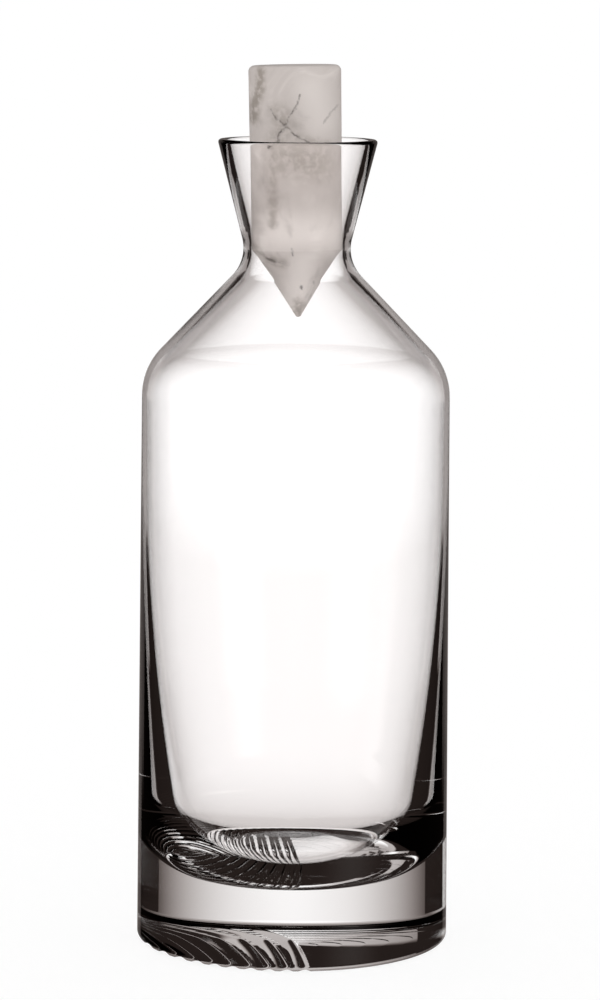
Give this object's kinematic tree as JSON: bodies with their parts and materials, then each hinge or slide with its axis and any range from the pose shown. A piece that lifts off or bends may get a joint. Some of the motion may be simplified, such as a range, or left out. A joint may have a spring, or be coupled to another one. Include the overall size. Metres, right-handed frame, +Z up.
{
  "type": "whisky bottle with stopper",
  "caption": "Clear glass whisky bottle with a flared neck, sloping shoulder and thick cut foot, closed by a loose marble stopper with a conical end.",
  "frame": {"origin": "middle of the foot, on the surface that the bottle stands on", "axes": "+Z up along the bottle's axis, -Y the front, +X to the right of it"},
  "size_m": [0.0948, 0.0948, 0.2657],
  "materials": {
    "glass": "clear, fire polished",
    "marble": "honed pale grey marble with thin darker veins"
  },
  "bodies": {
    "bottle": {"glass_bottle": "glass"},
    "stopper": {"marble_stopper": "marble"}
  },
  "joints": [
    {"name": "stopper_lift", "type": "slide", "parent": "bottle", "child": "stopper", "axis": [0, 0, 1], "range_m": [0, 0.07]}
  ]
}
